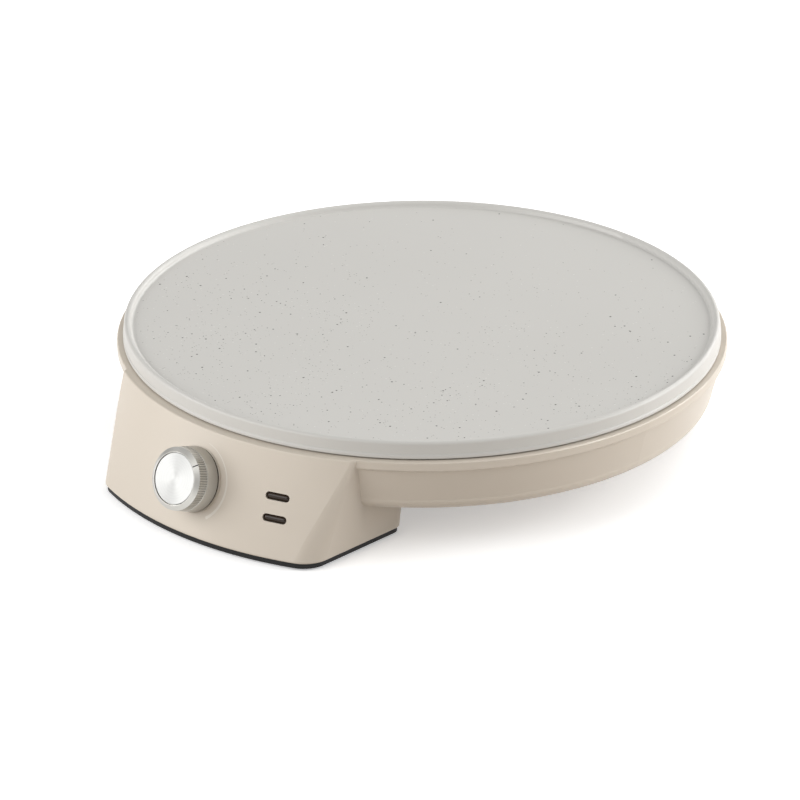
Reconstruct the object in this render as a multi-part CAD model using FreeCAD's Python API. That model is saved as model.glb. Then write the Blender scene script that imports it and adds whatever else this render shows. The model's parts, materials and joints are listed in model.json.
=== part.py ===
import FreeCAD, Part
import os
from math import sin, cos, tan, radians, pi

V = FreeCAD.Vector
os.makedirs("parts", exist_ok=True)

# All lengths are millimetres, +Z is up and the control knob faces -Y. The shapes are drawn about the
# axis of the round plate and moved once, at the end, so that the whole part is centred on the origin.

# Plate
plate_r = 155.0                     # outer radius at the lower edge of the plate
plate_low = 58.5                    # height of that edge above the table
rim_rise = 7.6                      # crest of the rim above the lower edge
cook_drop = 2.7                     # cooking surface below the crest
rim_wide = 5.6                      # rim, from the outer wall to the flat
plate_t = 4.6                       # thickness of the cast plate
rim_top = plate_low + rim_rise
cook_z = rim_top - cook_drop
under_z = cook_z - plate_t

# Screws and the holes for them
screw_r = 1.5                       # small screws
post_screw_r = 2.0                  # the three long ones that hold the plate
fine_screw_r = 1.25                 # lamp carrier and terminal block
thread_fit = 0.05                   # hole that a screw cuts its thread in, wider by this
pass_fit = 0.2                      # hole that a screw passes through, wider by this

# Housing: bowl, ledge, pod and rear legs in one moulding
wall = 2.6
lip_out = 3.2                       # lip beyond the plate, all round
ledge_gap = 2.1                     # dark gap under the plate
lip_h = 4.8
lip_step = 2.0                      # bowl wall inside the lip
bowl_taper = 4.9                    # how far the bowl wall comes in going down
bowl_floor = 26.0                   # underside of the bowl
bowl_round = 6.5
ledge_wide = 7.4                    # ledge, from its outside to the mouth of the bowl
ledge_t = 2.6
pod_out = 1.5                       # pod front beyond the lip, at the height of the ledge
pod_low = 4.0                       # lower edge of the moulding
pod_lean = 19.6                     # front face out of the vertical, degrees
pod_half = 82.0                     # half width of the pod at the top
pod_draft = 0.124                   # how fast each side comes in going down
pod_depth = 65.2                    # rear wall of the pod to the front of the ledge
pod_roof = 47.0                     # top of the hollow in front of the bowl
pod_round = (2.5, 13.0, 7.0)        # corner radii: front at the top, front at the bottom, back
ledge_r = plate_r + lip_out
ledge_top = plate_low - ledge_gap
bowl_top_r = ledge_r - lip_step
bowl_low_r = bowl_top_r - bowl_taper
lip_low = ledge_top - lip_h
mouth_r = ledge_r - ledge_wide
pod_top_r = ledge_r + pod_out
pod_back = ledge_r - pod_depth

# Rear legs
leg_low_z = 2.0
leg_sink = 8.0                      # how far a leg reaches up into the bowl
leg_top_a = (14.0, 67.0)            # degrees either side of the rear, at the bowl
leg_low_a = (26.0, 39.5)            # and at the table
leg_top_t, leg_low_t = 29.0, 17.3   # thickness, front to back
leg_top_in, leg_low_in = 0.3, 3.0   # outer face inside the bowl wall
leg_round = 3.0

# Knob and thermostat, drawn on an axis square to the pod front
knob_z = 31.3                       # height of the knob seat on the pod front
knob_r = 16.9                       # at the skirt
knob_draft = 0.055                  # how fast the side comes in going outward
knob_len = 14.6
knob_gap = 0.7                      # skirt to seat
knob_wall = 2.6
bevel_h = 1.5                       # bevel round the face
bevel_w = 2.4
disc_r = 13.2
disc_t = 1.15
disc_deep = 0.25                    # disc face below the rim of the knob
groove_w = 0.4                      # open ring round the disc
teeth_n = 78
teeth_len = 5.7
tooth_h = 0.45
seat_h = 0.2                        # raised seat under the knob
hub_r = 6.4
hub_len = 8.8
shaft_r = 3.0
shaft_fit = 0.05                    # radial running clearance of the shaft
flat_at = 1.6                       # drive flat, from the shaft axis
stat_screw_x = 18.0
stat_boss_r = 3.8
stat_plate_z = -8.0                 # face of the thermostat plate against its bosses
stat_plate_t = 1.2
stat_half_w, stat_half_h, stat_deep = 13.5, 12.0, 13.0
stat_neck_r = 4.6
pointer_a = -48.0                   # pointer line, turned from the top of the knob
window_half, window_back = 32.0, 120.0      # opening in the bowl wall behind the thermostat

# Indicator lamps
lamp_turn = 17.4                    # degrees round the plate axis from the knob
lamp_z = (34.3, 23.7)               # heights of the two slots
lamp_slot = (13.5, 4.0)
lamp_fit = 0.2                      # lens to slot, all round
lens_flange = (2.4, 2.2)            # flange behind the wall, beyond the lens
lens_sunk = 0.7                     # lens face below the pod front
lamp_boss_x = -14.6                 # screw boss beside the lamps, on the knob side
neon_r = 2.0
neon_legs = (-3.5, 3.5)
lamp_boss_z = -9.0                  # end of the screw boss behind the pod front
flange_low = -wall - 1.9            # back of the lens flange

# Heating
heat_r = 96.0                       # radius of the heating ring
heat_tube = 3.3
heat_gap_a = 14.0                   # half angle left open at the front
heat_fit = 0.05
heat_bend = 8.0                     # radius of the turned-down ends
heat_low = 41.5                     # lower end of the sheath
heat_z = under_z - heat_tube - 0.2
channel_wall = 2.1
strap_a = (35.0, 145.0, 246.0)      # where the straps cross the ring, degrees from +X
strap_t = 1.0
strap_half = 10.0                   # strap screws either side of the ring
small_boss_r = 3.6
pin_r = 1.3
bulb_r, bulb_len = 3.0, 56.0
clip_t = 0.8
post_r = 118.0                      # circle of the three fixing posts
post_a = (90.0, 210.0, 330.0)
post_out = 6.2                      # radius of a post
plate_boss_r = 6.5
boss_low = 50.0                     # underside of the plate bosses
head_deep = 5.0                     # screw heads sunk into the underside
shield_z = 44.5                     # underside of the heat shield
shield_t = 0.8
shield_rim = 8.0
tube_hole = (-46.0, -72.0)          # where the sensor's tube passes the shield
shield_air = 8.7                    # shield to the bowl wall
shield_r = bowl_low_r - wall - shield_air

# Base cover, feet and cord inlet
cover_low = 1.2
cover_in = 1.2                      # cover edge inside the moulding
cover_fit = 0.4                     # cover rib to the housing wall
rib_t, rib_h = 1.6, 3.0
foot_r = 7.0
front_low = pod_top_r + (ledge_top - pod_low) * tan(radians(pod_lean))
cover_fix = ((66.0, -pod_back - 9.0), (69.0, 32.3 - front_low))     # one side; the other is its mirror
front_feet = ((61.0, -pod_back - 26.0), (55.0, 25.3 - front_low))
gland_x, gland_z = 38.0, 14.6
gland_r = 5.9                       # half width of the neck in the pod wall's notch
gland_fit = 0.1
gland_bore = 3.6
gland_lip = 1.8                     # flange beyond the neck
flange_t = 3.5
clamp_x = 10.0                      # clamp screws either side of the inlet
clamp_y = -pod_back - 15.0
block_x, block_y = -44.0, -pod_back - 25.0      # terminal block centre
block_pitch = 10.0
block_foot = 2.0                    # pillars under the block
block_h = 10.0
block_z = pod_low + block_foot
block_seat = block_z + 7.0          # heads of the two screws that hold the block
way_z = block_z + 4.0               # height of the three ways through the block
lead_r = 1.2                        # insulated lead
clamp_t = 2.5
clamp_z = gland_z + gland_bore + 0.1
cover_boss_r = 4.2
plug_r, plug_h = 5.0, 7.0           # plugs of the rear pads, up into the legs
vent_r = 72.0
vent_a = (20, 45, 70, 110, 135, 160, 200, 225, 315, 340)
block_ways = (block_x - block_pitch, block_x, block_x + block_pitch)
block_fix = (block_x - block_pitch / 2.0, block_x + block_pitch / 2.0)

face_z = seat_h + knob_gap + knob_len
bevel_r = knob_r - knob_draft * (knob_len - bevel_h)
front_reach = pod_top_r + (ledge_top - knob_z) * tan(radians(pod_lean)) \
    + face_z * cos(radians(pod_lean)) + (bevel_r - bevel_w) * sin(radians(pod_lean))
axis_y = (front_reach - ledge_r) / 2.0


def put(name, shape):
    shape = shape.copy()
    shape.translate(V(0, axis_y, 0))
    shape.exportStep("parts/" + name + ".step")
    box = shape.optimalBoundingBox()
    print(name, len(shape.Solids), shape.isValid(), round(shape.Volume), [round(v, 2) for v in
          (box.XMin, box.XMax, box.YMin, box.YMax, box.ZMin, box.ZMax)])
    return shape


def fuse(first, *others):
    out = first
    for o in others:
        out = out.fuse(o)
    return out.removeSplitter()


def cyl(r, z0, z1, x=0.0, y=0.0):
    return Part.makeCylinder(r, z1 - z0, V(x, y, z0), V(0, 0, 1))


def ring(r_out, r_in, z0, z1, x=0.0, y=0.0):
    return cyl(r_out, z0, z1, x, y).cut(cyl(r_in, z0 - 1, z1 + 1, x, y))


def box(x0, x1, y0, y1, z0, z1):
    return Part.makeBox(x1 - x0, y1 - y0, z1 - z0, V(x0, y0, z0))


def outline(points):
    """Closed wire in the XZ plane. Two numbers are a corner, four an arc: middle point, end point."""
    edges, at = [], V(points[0][0], 0, points[0][1])
    first = at
    for p in list(points[1:]) + [points[0][:2]]:
        end = V(p[-2], 0, p[-1])
        if len(p) == 4:
            edges.append(Part.Arc(at, V(p[0], 0, p[1]), end).toShape())
        elif end.distanceToPoint(at) > 1e-6:
            edges.append(Part.makeLine(at, end))
        at = end
    return Part.Wire(edges)


def turned(points):
    return Part.Face(outline(points)).revolve(V(0, 0, 0), V(0, 0, 1), 360)


def stadium(length, width, z0, z1):
    """Bar with round ends along X."""
    h, r = (length - width) / 2.0, width / 2.0
    edges = [Part.makeLine(V(-h, -r, z0), V(h, -r, z0)),
             Part.Arc(V(h, -r, z0), V(h + r, 0, z0), V(h, r, z0)).toShape(),
             Part.makeLine(V(h, r, z0), V(-h, r, z0)),
             Part.Arc(V(-h, r, z0), V(-h - r, 0, z0), V(-h, -r, z0)).toShape()]
    return Part.Face(Part.Wire(edges)).extrude(V(0, 0, z1 - z0))


def rod(points, r, square=False):
    """Round bar along a smooth curve through the points; square means straight at both ends."""
    points = [V(*p) for p in points]
    curve = Part.BSplineCurve()
    if square:
        curve.interpolate(Points=points, InitialTangent=points[1] - points[0],
                          FinalTangent=points[-1] - points[-2])
    else:
        curve.interpolate(points)
    start = curve.tangent(curve.FirstParameter)[0]
    ends = Part.Face(Part.Wire([Part.makeCircle(r, points[0], start)]))
    return Part.Wire([curve.toShape()]).makePipe(ends)


def pod_front_r(z):
    return pod_top_r + (ledge_top - z) * tan(radians(pod_lean))


def on_slope(shape, z, turn=0.0):
    """Move a shape drawn on its own +Z axis to the pod front at height z, turned about the plate axis."""
    s = shape.copy()
    s.rotate(V(0, 0, 0), V(1, 0, 0), 90.0 - pod_lean)
    s.translate(V(0, -pod_front_r(z), z))
    s.rotate(V(0, 0, 0), V(0, 0, 1), turn)
    return s


lamp_y = [(z - sum(lamp_z) / 2.0) / cos(radians(pod_lean)) for z in lamp_z]


def at_knob(shape):
    return on_slope(shape, knob_z)


def at_lamps(shape):
    return on_slope(shape, sum(lamp_z) / 2.0, lamp_turn)


def screw(x, y, seat, length, r=screw_r, head_r=3.0, head_h=2.0, up=True):
    """Pan head screw whose head bears on the height seat; up means the shank points upward."""
    way = 1.0 if up else -1.0
    shank = Part.makeCylinder(r, length, V(x, y, seat), V(0, 0, way))
    head = Part.makeCylinder(head_r, head_h, V(x, y, seat), V(0, 0, -way))
    rim = [e for e in head.Edges if abs(e.BoundBox.ZMin - (seat - way * head_h)) < 1e-6
           and abs(e.BoundBox.ZMax - (seat - way * head_h)) < 1e-6]
    head = head.makeFillet(head_h * 0.35, rim)
    slot_z = seat - way * head_h
    for turn in (0, 90):
        s = Part.makeBox(head_r * 1.1, 0.7, 1.6, V(x - head_r * 0.55, y - 0.35, slot_z - 0.8))
        s.rotate(V(x, y, 0), V(0, 0, 1), turn)
        head = head.cut(s)
    return head.fuse(shank)


def polar(r, a):
    return r * cos(radians(a)), r * sin(radians(a))


def upright(shape, height):
    """Edges that stand straight up for that height."""
    return [e for e in shape.Edges if abs(e.BoundBox.ZLength - height) < 1e-6
            and e.BoundBox.XLength < 1e-6 and e.BoundBox.YLength < 1e-6]


def griddle_plate():
    """Cast plate: rim and skirt outside, a ring that drops into the bowl's mouth, bosses below."""
    o, t = plate_r, rim_top
    flat, drop = o - rim_wide, mouth_r - 2.0
    disc = turned([
        (0, under_z), (drop - 3.2, under_z), (drop - 2.7, ledge_top - 2.9), (drop - 0.4, ledge_top - 2.9),
        (drop, under_z), (o - 1.6, under_z), (o - 1.4, plate_low), (o - 0.7, plate_low),
        (o - 0.2, plate_low + 0.2, o, plate_low + 0.7), (o - 0.5, t - 1.9),
        (o - 1.05, t - 0.55, o - 2.4, t), (o - 3.5, t - 0.5, o - 4.1, t - 1.3),
        (o - 4.6, t - 2.25, flat, cook_z), (0, cook_z)])
    half = heat_tube + channel_wall
    channel = ring(heat_r + half, heat_r - half, heat_z - heat_tube / 2.0, under_z)
    gap = heat_r * sin(radians(heat_gap_a))
    parts = [channel.cut(box(-gap - 0.8, gap + 0.8, -heat_r - 12, -heat_r + 14, heat_z - 3, under_z))]
    holes = []
    for a in post_a:
        x, y = polar(post_r, a)
        parts.append(cyl(plate_boss_r, boss_low, under_z, x, y))
        holes.append(cyl(post_screw_r + thread_fit, boss_low - 1, under_z - 0.5, x, y))
    for x, y, low in strap_bosses() + small_bosses():
        parts.append(cyl(small_boss_r, low, under_z, x, y))
        holes.append(cyl(screw_r + thread_fit, low - 1, under_z - 0.5, x, y))
    solid = fuse(disc, *parts)
    solid = solid.cut(heat_path_solid(heat_tube + heat_fit))
    for h in holes:
        solid = solid.cut(h)
    return solid.removeSplitter()


def strap_bosses():
    """Bosses either side of the heating ring for the three straps."""
    out = []
    for a in strap_a:
        for r in (heat_r - strap_half, heat_r + strap_half):
            x, y = polar(r, a)
            out.append((x, y, heat_z - heat_tube - 0.1))
    return out


def small_bosses():
    """Bosses for the sensor clip, the fuse clip and the earth tag."""
    low = under_z - 2.0 * bulb_r - 0.6
    return [(-14.0, -52.0, low), (22.0, -30.0, under_z - 4.6), (40.0, -58.0, low)]


def heat_path():
    a = radians(heat_gap_a)
    r, bend, low = heat_r, heat_bend, heat_low
    sx, sy = r * sin(a), -r * cos(a)
    tx, ty = cos(a), sin(a)
    edges = []
    left, right = V(-sx, sy, heat_z), V(sx, sy, heat_z)
    for s in (1, -1):
        p = V(s * sx, sy, heat_z)
        d = V(-s * tx, -ty, 0)
        mid = p + d * (bend * sin(radians(45))) + V(0, 0, -bend * (1 - cos(radians(45))))
        end = p + d * bend + V(0, 0, -bend)
        arc = Part.Arc(p, mid, end).toShape()
        leg = Part.makeLine(end, V(end.x, end.y, low))
        edges.append((arc, leg, end))
    body = Part.Arc(right, V(0, r, heat_z), left).toShape()
    return [edges[0][1], edges[0][0], body, edges[1][0], edges[1][1]], edges[0][2], edges[1][2], low


def heat_path_solid(r):
    edges, end, _, low = heat_path()
    path = Part.Wire(Part.__sortEdges__(edges))
    start = Part.Wire([Part.makeCircle(r, V(end.x, end.y, low), V(0, 0, 1))])
    return path.makePipeShell([start], True, True)


def heat_ends():
    _, a, b, low = heat_path()
    return ((a.x, a.y), (b.x, b.y)), low


def heating_element():
    return heat_path_solid(heat_tube)


def element_insulators():
    ends, low = heat_ends()
    return [ring(heat_tube, pin_r, low - 4.0, low, x, y) for x, y in ends]


def element_pins():
    ends, low = heat_ends()
    out = []
    for x, y in ends:
        pin = cyl(pin_r, low - 9.0, low, x, y)
        out.append(pin.fuse(box(x - 3.1, x + 3.1, y - 0.4, y + 0.4, low - 8.6, low - 4.4)))
    return out


def element_straps():
    out = []
    low = heat_z - heat_tube - 0.1
    for a in strap_a:
        reach = strap_half + 4.0
        s = box(heat_r - reach, heat_r + reach, -4.5, 4.5, low - strap_t, low)
        s = s.makeFillet(3.0, upright(s, strap_t))
        for r in (heat_r - strap_half, heat_r + strap_half):
            s = s.cut(cyl(screw_r + pass_fit, low - 2, low + 1, r))
        s.rotate(V(0, 0, 0), V(0, 0, 1), a)
        out.append(s)
    return out


def strap_screws():
    return [screw(x, y, low - strap_t, 6.0) for x, y, low in strap_bosses()]


def sensor_bulb():
    """Fluid bulb of the thermostat, lying against the plate."""
    z = under_z - bulb_r - thread_fit
    bulb = Part.makeCylinder(bulb_r, bulb_len, V(-30, -60, z), V(1, 0, 0))
    ends = [e for e in bulb.Edges if e.BoundBox.XLength < 1e-6]
    return bulb.makeFillet(2.0, ends)


def sensor_clip():
    x, y, z = small_bosses()[0]
    clip = box(x - 5, x + 5, y - 17, y + 5, z - clip_t, z)
    hook = box(x - 5, x + 5, y - 17, y - 17 + clip_t, z - clip_t, under_z - 1.5)
    return clip.fuse(hook).cut(cyl(screw_r + pass_fit, z - 2, z + 1, x, y)).removeSplitter()


def thermal_fuse():
    z = under_z - 2.3
    can = Part.makeCylinder(2.1, 15.0, V(14.5, -18, z), V(1, 0, 0))
    tail = Part.makeCylinder(0.5, 27.0, V(8.5, -18, z), V(1, 0, 0))
    return can.fuse(tail)


def fuse_clip():
    x, y, z = small_bosses()[1]
    clip = box(x - 5, x + 5, y - 4, y + 16.5, z - clip_t, z)
    lip = box(x - 5, x + 5, y + 16.5 - clip_t, y + 16.5, z - clip_t, under_z - 0.6)
    return clip.fuse(lip).cut(cyl(screw_r + pass_fit, z - 2, z + 1, x, y)).removeSplitter()


def earth_tag():
    x, y, z = small_bosses()[2]
    eye = cyl(4.2, z - clip_t, z, x, y)
    blade = box(x - 3.1, x + 3.1, y - 16, y, z - clip_t, z)
    return eye.fuse(blade).cut(cyl(screw_r + pass_fit, z - 2, z + 1, x, y)).removeSplitter()


def clip_screws():
    return [screw(x, y, low - clip_t, under_z + 0.1 - low) for x, y, low in small_bosses()]


def heat_shield():
    """Pressed steel tray that keeps the heat off the moulding."""
    z, r, t = shield_z, shield_r, shield_t
    tray = turned([(0, z), (r - 3.5, z), (r - 1.0, z + 1.0, r, z + 3.5), (r, z + shield_rim),
                   (r - t, z + shield_rim), (r - t, z + 3.5), (r - 1.6, z + 1.6, r - 3.5, z + t),
                   (0, z + t)])
    for a in post_a:
        x, y = polar(post_r, a)
        tray = tray.cut(cyl(post_screw_r + pass_fit, z - 1, z + 2, x, y))
    (x_end, _), _ = heat_ends()[0]
    half = abs(x_end) + heat_tube + 1.0
    slot = box(-half, half, -heat_r - 9, -heat_r + 13, z - 1, z + 2)
    slot = slot.makeFillet(6.0, upright(slot, 3.0))
    tray = tray.cut(slot).cut(cyl(5.0, z - 1, z + 2, *tube_hole))
    for a in (30, 60, 120, 150, 240, 300, 0, 180):
        hole = stadium(18, 4, z - 1, z + 2)
        hole.translate(V(50, 0, 0))
        hole.rotate(V(0, 0, 0), V(0, 0, 1), a)
        tray = tray.cut(hole)
    return tray


def post_sleeves():
    """Spacers between the heat shield and the plate bosses."""
    out = []
    for a in post_a:
        x, y = polar(post_r, a)
        out.append(ring(6.0, post_screw_r + pass_fit, shield_z + shield_t, boss_low, x, y))
    return out


def plate_screws():
    out = []
    for a in post_a:
        x, y = polar(post_r, a)
        seat = bowl_floor + head_deep
        out.append(screw(x, y, seat, under_z - 1.5 - seat, post_screw_r, 3.9, 2.8))
    return out


def bowl_outer():
    """Outside of the bowl with its lip, as a solid."""
    f, rr = bowl_floor, bowl_round
    z0 = f + rr
    k = rr * 0.2929
    wall_top = lip_low - 1.4
    return turned([
        (0, f), (bowl_low_r - rr, f), (bowl_low_r - k, f + k, bowl_low_r, z0),
        (bowl_top_r, wall_top), (bowl_top_r + 0.5, wall_top + 0.9, ledge_r - 0.4, wall_top + 1.3),
        (ledge_r - 0.1, wall_top + 1.6, ledge_r, wall_top + 2.1), (ledge_r, ledge_top - 0.6),
        (ledge_r - 0.18, ledge_top - 0.18, ledge_r - 0.6, ledge_top), (0, ledge_top)])


def bowl_hollow():
    f, rr = bowl_floor + wall, bowl_round - 2.0
    low_r, top_r = bowl_low_r - wall, bowl_top_r - wall
    k = rr * 0.2929
    return turned([(0, f), (low_r - rr, f), (low_r - k, f + k, low_r, f + rr),
                   (top_r, lip_low - 1.4), (mouth_r, ledge_top - ledge_t),
                   (mouth_r, ledge_top + 1), (0, ledge_top + 1)])


def pod_form(inset, low, high):
    """Pod shape: a cone round the plate axis cut by two sloping sides and a flat back."""
    k = inset / cos(radians(pod_lean))
    cone = turned([(0, low), (pod_front_r(low) - k, low), (pod_front_r(high) - k, high), (0, high)])
    wires = []
    for z in (low, high):
        h = pod_half - (ledge_top - z) * pod_draft - inset
        pts = [V(-h, -pod_back - inset, z), V(-h, -260, z), V(h, -260, z), V(h, -pod_back - inset, z)]
        wires.append(Part.makePolygon(pts + pts[:1]))
    return cone.common(Part.makeLoft(wires, True, True))


def grown_fillet(solid, edges, high_r, low_r):
    """Round upright edges with a radius that grows from top to bottom."""
    for e in edges:
        z = e.Curve.value(e.FirstParameter).z
        pair = (low_r, high_r) if z < e.Curve.value(e.LastParameter).z else (high_r, low_r)
        match = [k for k in solid.Edges if k.BoundBox.ZLength > e.BoundBox.ZLength * 0.9
                 and k.CenterOfMass.distanceToPoint(e.CenterOfMass) < 0.5]
        solid = solid.makeFillet(pair[0], pair[1], match)
    return solid


def pod_rounded(inset, low, high):
    """Slice of the pod shape with its upright corners rounded; an inset keeps the wall even round them."""
    full_low, full_high = pod_low - 2.0, ledge_top
    pod = pod_form(inset, full_low, full_high)
    front_high, front_low_r, back_r = pod_round
    grow = (front_low_r - front_high) * (full_high - full_low) / (ledge_top - pod_low)
    radii = [max(r - inset, 0.6) for r in (front_high, front_high + grow)]
    tall = [e for e in pod.Edges if e.BoundBox.ZLength > (full_high - full_low) * 0.9]
    pod = grown_fillet(pod, [e for e in tall if e.BoundBox.YMin < -pod_back - 40], radii[0], radii[1])
    backs = [e for e in pod.Edges if e.BoundBox.ZLength > (full_high - full_low) * 0.9
             and e.BoundBox.YMin > -pod_back - 12 and e.BoundBox.YLength < 1e-3]
    pod = pod.makeFillet(max(back_r - inset, 0.6), backs)
    return pod.common(box(-200, 200, -400, 0, low, high))


def pod_outer():
    pod = pod_rounded(0.0, pod_low, ledge_top)
    top = [e for e in pod.Edges if e.BoundBox.ZMin > ledge_top - 1e-3 and e.BoundBox.YMin < -pod_back - 20]
    pod = pod.makeFillet(1.0, top)
    low = [e for e in pod.Edges if e.BoundBox.ZMax < pod_low + 1e-3]
    return pod.makeFillet(0.8, low)


def pod_and_bowl():
    """Bowl and pod in one."""
    return bowl_outer().fuse(pod_outer())


def mirrored(places):
    """The places on the right side and their mirror images on the left."""
    return [(s * x, y) for x, y in places for s in (1, -1)]


def sector(r_in, r_out, a0, a1, z, side):
    """Closed wire between two radii and two angles measured from the rear."""
    def at(r, a):
        return V(side * r * sin(radians(a)), r * cos(radians(a)), z)
    m = (a0 + a1) / 2.0
    return Part.Wire([Part.Arc(at(r_out, a0), at(r_out, m), at(r_out, a1)).toShape(),
                      Part.makeLine(at(r_out, a1), at(r_in, a1)),
                      Part.Arc(at(r_in, a1), at(r_in, m), at(r_in, a0)).toShape(),
                      Part.makeLine(at(r_in, a0), at(r_out, a0))])


def leg_form(side):
    """Leg that carries the bowl's wall down to the table, narrowing on its way."""
    out_top, out_low = bowl_low_r - leg_top_in, bowl_low_r - leg_low_in
    top_z = bowl_floor + leg_sink
    top = sector(out_top - leg_top_t, out_top, leg_top_a[0], leg_top_a[1], top_z, side)
    low = sector(out_low - leg_low_t, out_low, leg_low_a[0], leg_low_a[1], leg_low_z, side)
    leg = Part.makeLoft([low, top], True, True)
    ups = [e for e in leg.Edges if e.BoundBox.ZLength > (top_z - leg_low_z) * 0.9]
    return leg.makeFillet(leg_round, ups)


def foot_centre(side):
    a = radians(sum(leg_low_a) / 2.0)
    r = bowl_low_r - leg_low_in - leg_low_t / 2.0
    return side * r * sin(a), r * cos(a)


def housing():
    solid = fuse(pod_and_bowl(), leg_form(1), leg_form(-1))
    solid = solid.cut(bowl_hollow())
    solid = solid.cut(pod_rounded(wall, pod_low - 1.0, pod_roof).cut(bowl_outer()))
    window = box(-window_half, window_half, -front_low, -window_back, pod_low + 4.0, pod_roof - 1.0)
    solid = solid.cut(window.common(pod_form(wall, pod_low + 4.0, pod_roof - 1.0)))
    solid = fuse(solid, *housing_bosses())
    for hole in housing_holes():
        solid = solid.cut(hole)
    return solid.removeSplitter()


def housing_bosses():
    """Posts under the plate, bosses for the base cover, and bosses and seat on the pod front."""
    out = []
    for a in post_a:
        x, y = polar(post_r, a)
        out.append(cyl(post_out, bowl_floor + 0.5, shield_z, x, y))
    high = bowl_floor + wall + 1.9
    shell = pod_rounded(wall - 0.5, pod_low, high)
    for x, y in mirrored(cover_fix):
        side = x + 8.0 * x / abs(x)
        web = box(min(x, side), max(x, side), y - 1.1, y + 1.1, pod_low + 4.5, high - 0.5)
        out.append(cyl(cover_boss_r, pod_low + 4.0, high, x, y).fuse(web).common(shell))
    out.append(at_knob(cyl(knob_r + 0.5, -4.0, seat_h)))
    for s in (-1, 1):
        out.append(at_knob(cyl(stat_boss_r, stat_plate_z, 1.1 - wall, s * stat_screw_x)))
    out.append(at_lamps(cyl(3.4, lamp_boss_z, 1.1 - wall, lamp_boss_x)))
    return out


def housing_holes():
    out = []
    for a in post_a:
        x, y = polar(post_r, a)
        out.append(cyl(post_screw_r + pass_fit, bowl_floor - 1, shield_z + 1, x, y))
        out.append(cyl(4.4, bowl_floor - 1, bowl_floor + head_deep, x, y))
    for x, y in mirrored(cover_fix):
        out.append(cyl(screw_r + thread_fit, pod_low - 1, pod_low + 15.0, x, y))
    out.append(at_knob(cyl(stat_neck_r + 0.4, -6, 2)))
    for s in (-1, 1):
        out.append(at_knob(cyl(screw_r + thread_fit, stat_plate_z - 1, -wall, s * stat_screw_x)))
    out.append(at_lamps(cyl(fine_screw_r + thread_fit, lamp_boss_z - 1, -wall - 0.4, lamp_boss_x)))
    for y in lamp_y:
        slot = stadium(lamp_slot[0], lamp_slot[1], -8, 3)
        slot.translate(V(0, y, 0))
        out.append(at_lamps(slot))
    half = gland_r + gland_fit
    out.append(box(gland_x - half, gland_x + half, -pod_back - wall - 1, -pod_back + 1,
                   pod_low - 1, gland_z + half))
    for side in (-1, 1):
        x, y = foot_centre(side)
        out.append(cyl(plug_r + 0.1, leg_low_z - 1, leg_low_z + plug_h + 1, x, y))
    for a in vent_a:
        vent = stadium(26, 3.2, bowl_floor - 1, bowl_floor + wall + 1)
        vent.translate(V(vent_r, 0, 0))
        vent.rotate(V(0, 0, 0), V(0, 0, 1), a)
        out.append(vent)
    return out


def cover_form(inset, low, high):
    """Outline of the pod's open bottom, brought in by inset, as an upright block."""
    pod = pod_rounded(inset, pod_low, pod_low + 5.0)
    sole = [f for f in pod.Faces if f.BoundBox.ZMax < pod_low + 1e-3][0]
    block = sole.extrude(V(0, 0, high - low))
    block.translate(V(0, 0, low - pod_low))
    return block


def base_cover():
    cover = cover_form(cover_in, cover_low, pod_low)
    inset = wall + cover_fit
    rib = pod_rounded(inset, pod_low - 0.5, pod_low + rib_h)
    rib = rib.cut(pod_rounded(inset + rib_t, pod_low - 1, pod_low + rib_h + 1))
    parts = [rib]
    clamp_feet = [(gland_x + s * clamp_x, clamp_y) for s in (-1, 1)]
    for x in block_fix:
        parts.append(cyl(3.0, pod_low - 0.5, block_z, x, block_y))
    for x, y in clamp_feet:
        parts.append(cyl(3.2, pod_low - 0.5, clamp_z, x, y))
    cover = fuse(cover, *parts)
    for x in block_fix:
        cover = cover.cut(cyl(fine_screw_r + thread_fit, pod_low - 1.0, block_z + 1.0, x, block_y))
    for x, y in clamp_feet:
        cover = cover.cut(cyl(screw_r + thread_fit, pod_low + 1, clamp_z + 1, x, y))
    for x, y in mirrored(cover_fix):
        cover = cover.cut(cyl(screw_r + pass_fit, cover_low - 1, pod_low + 1, x, y))
        cover = cover.cut(cyl(3.3, cover_low - 1, cover_low + 1.4, x, y))
    for x, y in mirrored(front_feet):
        cover = cover.cut(cyl(foot_r + 0.1, cover_low - 1, cover_low + 1.0, x, y))
    for n in range(-3, 4):
        vent = box(5 * n - 1.2, 5 * n + 1.2, block_y - 18, block_y + 6, cover_low - 1, pod_low + 1)
        cover = cover.cut(vent)
    return cover.removeSplitter()


def base_screws():
    return [screw(x, y, cover_low + 1.4, 12.0, screw_r, 3.0, 1.3) for x, y in mirrored(cover_fix)]


def pads_front():
    out = []
    for x, y in mirrored(front_feet):
        pad = cyl(foot_r, 0, cover_low + 1.0, x, y)
        out.append(pad.makeFillet(0.5, [e for e in pad.Edges if e.BoundBox.ZMax < 1e-6]))
    return out


def pads_rear():
    """Rubber tips plugged into the rear legs."""
    out = []
    for side in (-1, 1):
        out_r = bowl_low_r - leg_low_in
        low = sector(out_r - leg_low_t + 1.5, out_r - 1.5, leg_low_a[0] + 0.8, leg_low_a[1] - 0.8, 0, side)
        tip = Part.Face(low).extrude(V(0, 0, leg_low_z))
        x, y = foot_centre(side)
        out.append(fuse(tip, cyl(plug_r, leg_low_z - 0.5, leg_low_z + plug_h, x, y)))
    return out


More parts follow.
